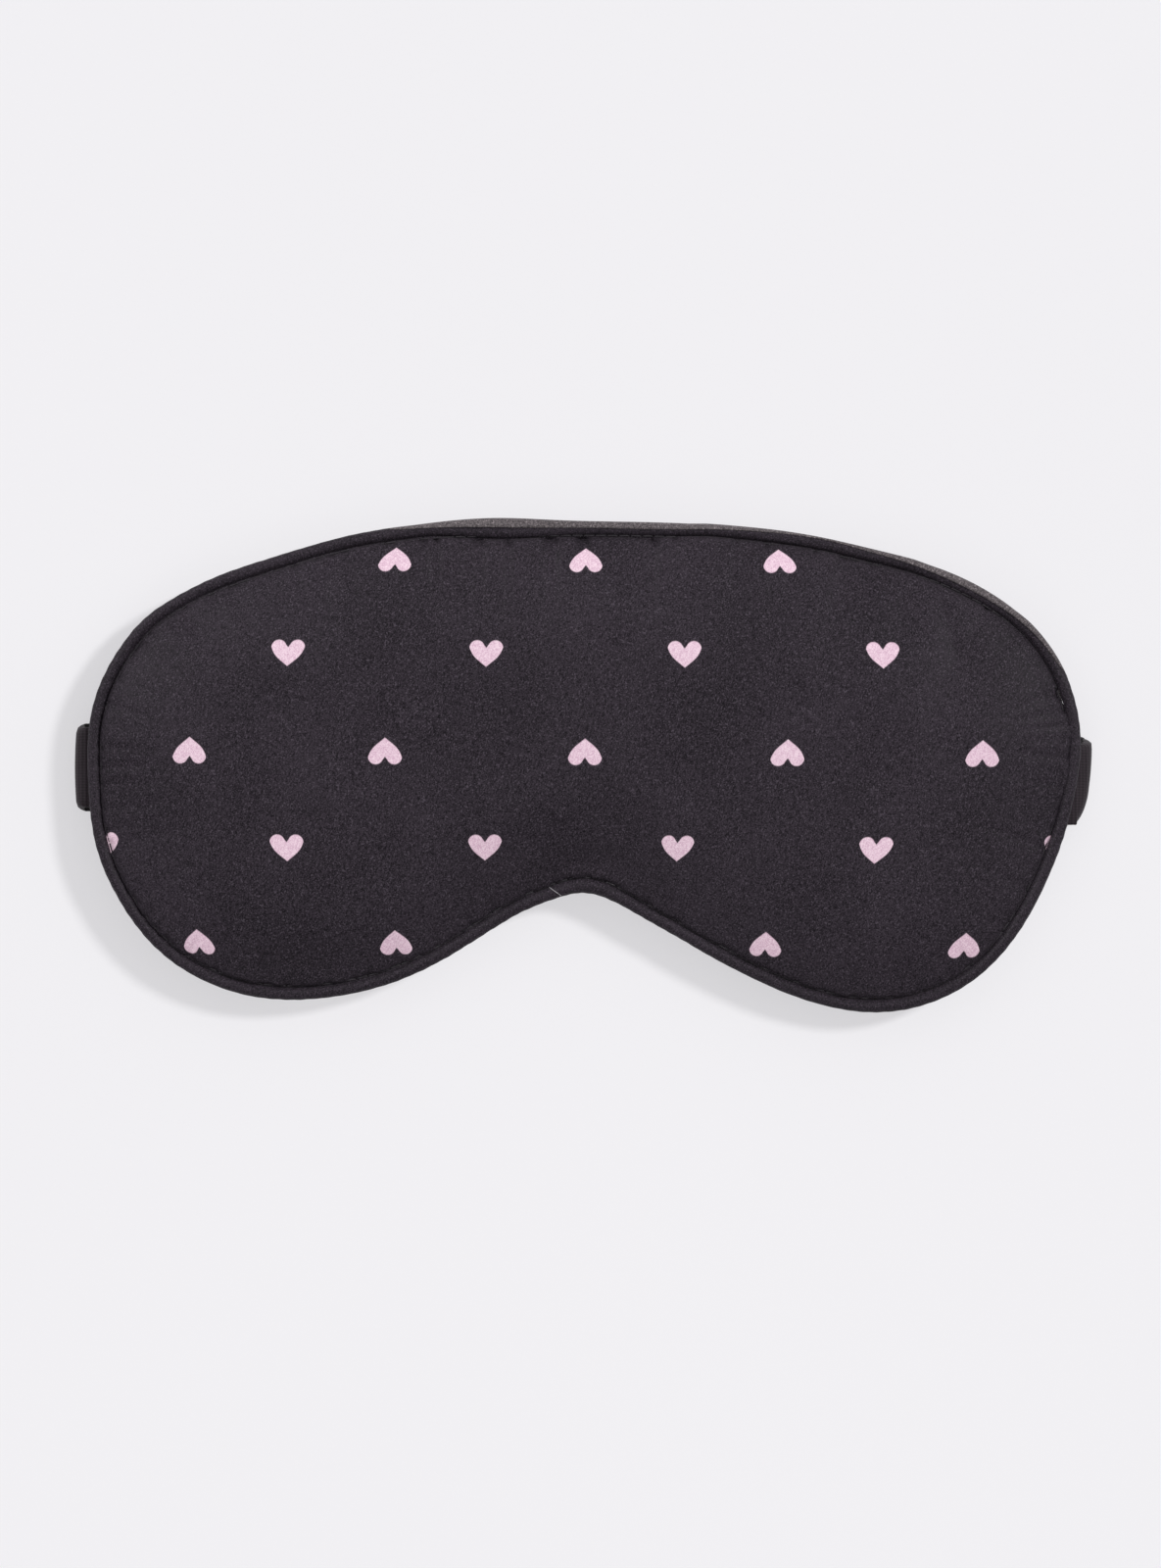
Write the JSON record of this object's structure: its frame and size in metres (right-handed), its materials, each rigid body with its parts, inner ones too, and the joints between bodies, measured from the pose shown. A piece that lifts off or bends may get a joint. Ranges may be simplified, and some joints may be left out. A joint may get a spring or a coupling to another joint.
{
  "type": "sleep mask",
  "caption": "Padded satin sleep mask with a nose notch, corded piping round its edge and an elastic strap in two halves that fasten behind the head with hook-and-loop patches.",
  "frame": {"origin": "on the table under the nose bridge, on the loop patch's face and on the strap's line", "axes": "+X to the right of the print (the wearer's left), +Y towards the brow edge, +Z out of the printed front"},
  "size_m": [0.2182, 0.1041, 0.0152],
  "materials": {
    "printed_satin": "charcoal satin weave with pale pink printed hearts",
    "back_satin": "plain charcoal satin weave",
    "piping_satin": "charcoal satin cut on the bias",
    "lining": "dense black plain weave",
    "wadding": "soft white fibre",
    "cotton_cord": "twisted cotton",
    "thread": "black polyester sewing thread",
    "elastic": "smooth knitted elastic",
    "loop_tape": "brushed loops",
    "hook_tape": "rows of small moulded hooks",
    "label_ribbon": "blank white satin ribbon"
  },
  "bodies": {
    "mask": {"front_panel": "printed_satin", "blackout_lining": "lining", "padding": "wadding", "back_panel": "back_satin", "piping_cover": "piping_satin", "piping_cord": "cotton_cord", "seam_thread": "thread", "strap_left_root": "elastic", "strap_right_root": "elastic", "strap_left_tack": "thread", "strap_right_tack": "thread", "care_label": "label_ribbon"},
    "strap_half_left": {"strap_left": "elastic", "loop_patch": "loop_tape", "loop_patch_stitching": "thread"},
    "strap_half_right": {"strap_right": "elastic", "hook_patch": "hook_tape", "hook_patch_stitching": "thread"}
  },
  "joints": [
    {"name": "left_strap_swing", "type": "hinge", "parent": "mask", "child": "strap_half_left", "pos_m": [-0.1066, 0, 0.00385], "axis": [0, 1, 0], "range_deg": [0, 178], "deforming": ["strap_left_root"]},
    {"name": "right_strap_swing", "type": "hinge", "parent": "mask", "child": "strap_half_right", "pos_m": [0.1047, -0.0029, 0.00323], "axis": [-0.1132, -0.9936, 0], "range_deg": [0, 178], "deforming": ["strap_right_root"]}
  ]
}
